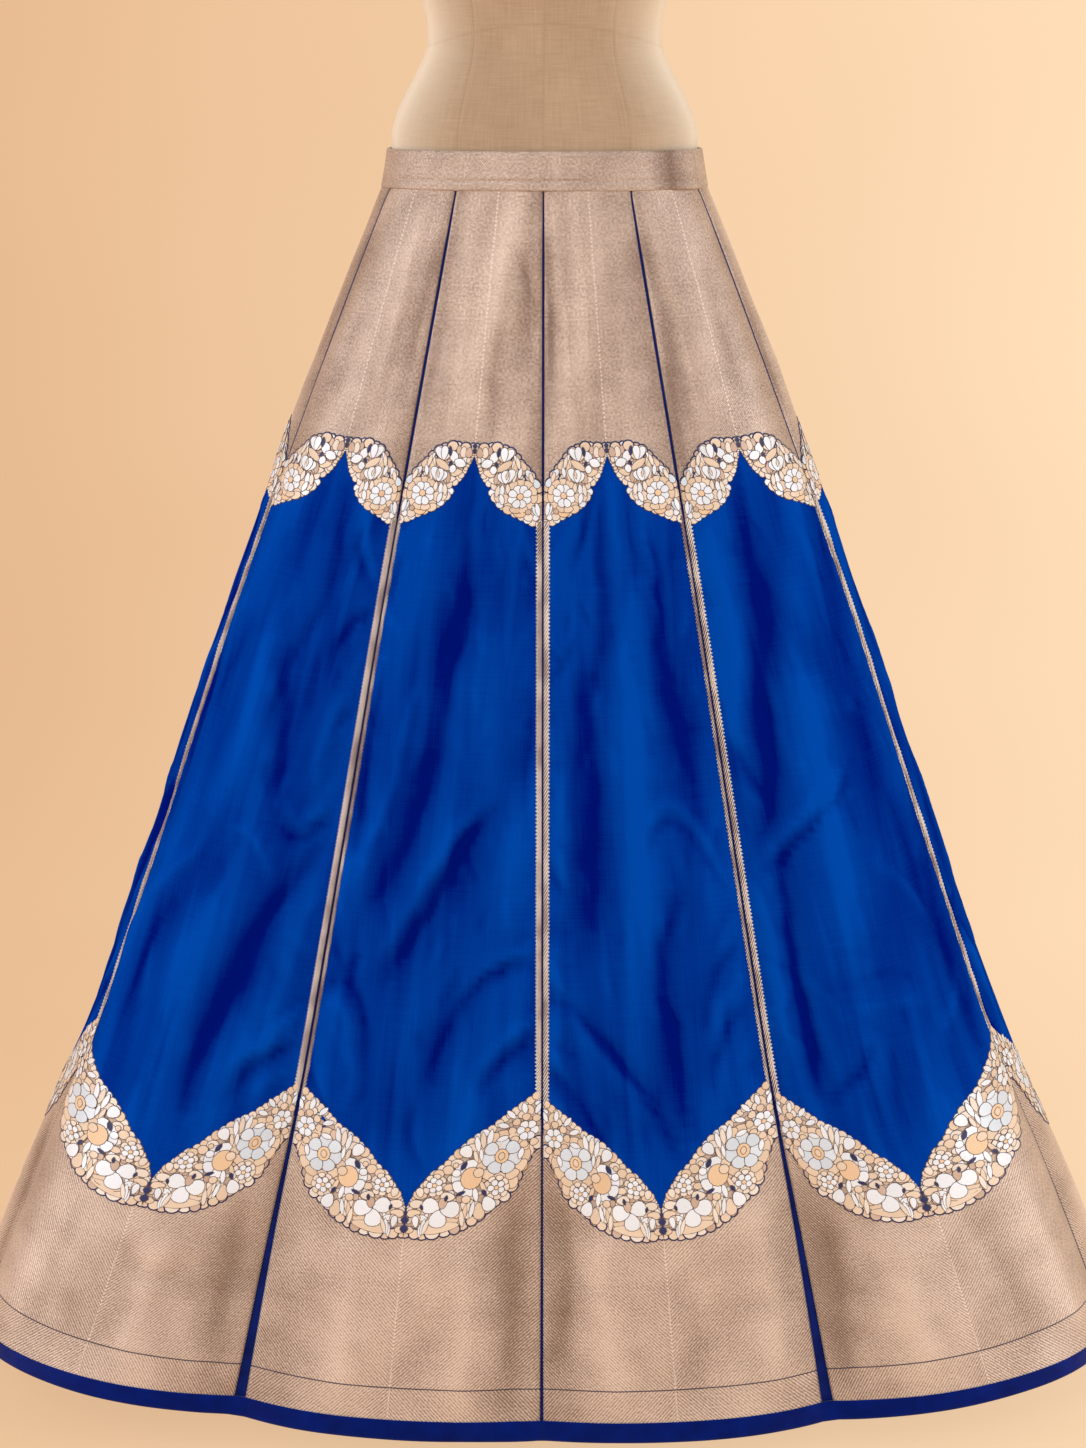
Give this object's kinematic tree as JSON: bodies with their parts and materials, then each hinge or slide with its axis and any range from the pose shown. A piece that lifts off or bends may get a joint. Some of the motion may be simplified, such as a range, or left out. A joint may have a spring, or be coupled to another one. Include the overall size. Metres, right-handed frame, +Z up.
{
  "type": "lehenga skirt on a limbless dress form",
  "caption": "Full-length flared lehenga skirt of tapered panels in blue silk with a brocade yoke, flowered scallops and border, on a linen dress form with a round-based stand.",
  "frame": {"origin": "on the floor at the pole's axis, the middle of the stand base's flat underside", "axes": "+Z up along the pole; the skirt's front faces -Y; +X is the wearer's left"},
  "size_m": [1.1053, 0.4888, 1.6893],
  "materials": {
    "zari_brocade_silk": "royal blue silk woven with rose-gold and silver zari: a yoke and a border of twill with chevron ribs, and flowered scallops between",
    "navy_silk_piping": "flat silk piping with a low sheen",
    "navy_silk_binding": "plain silk binding with a low sheen",
    "zari_waistband": "rose-gold zari brocade with a small zigzag, folded and stitched",
    "linen_cover": "plain-woven natural linen, matt",
    "turned_wood": "satin varnish",
    "brushed_steel": "satin"
  },
  "bodies": {
    "root": {"kali_1": "zari_brocade_silk", "kali_2": "zari_brocade_silk", "kali_3": "zari_brocade_silk", "kali_4": "zari_brocade_silk", "kali_5": "zari_brocade_silk", "kali_6": "zari_brocade_silk", "kali_7": "zari_brocade_silk", "kali_8": "zari_brocade_silk", "kali_9": "zari_brocade_silk", "kali_10": "zari_brocade_silk", "seam_piping_1": "navy_silk_piping", "seam_piping_2": "navy_silk_piping", "seam_piping_3": "navy_silk_piping", "seam_piping_4": "navy_silk_piping", "seam_piping_5": "navy_silk_piping", "seam_piping_6": "navy_silk_piping", "seam_piping_7": "navy_silk_piping", "seam_piping_8": "navy_silk_piping", "seam_piping_9": "navy_silk_piping", "seam_piping_10": "navy_silk_piping", "hem_binding": "navy_silk_binding", "waistband": "zari_waistband", "form_torso": "linen_cover", "neck_cap": "turned_wood", "stand_pole": "brushed_steel", "pole_socket": "brushed_steel", "stand_base": "brushed_steel"}
  },
  "joints": []
}
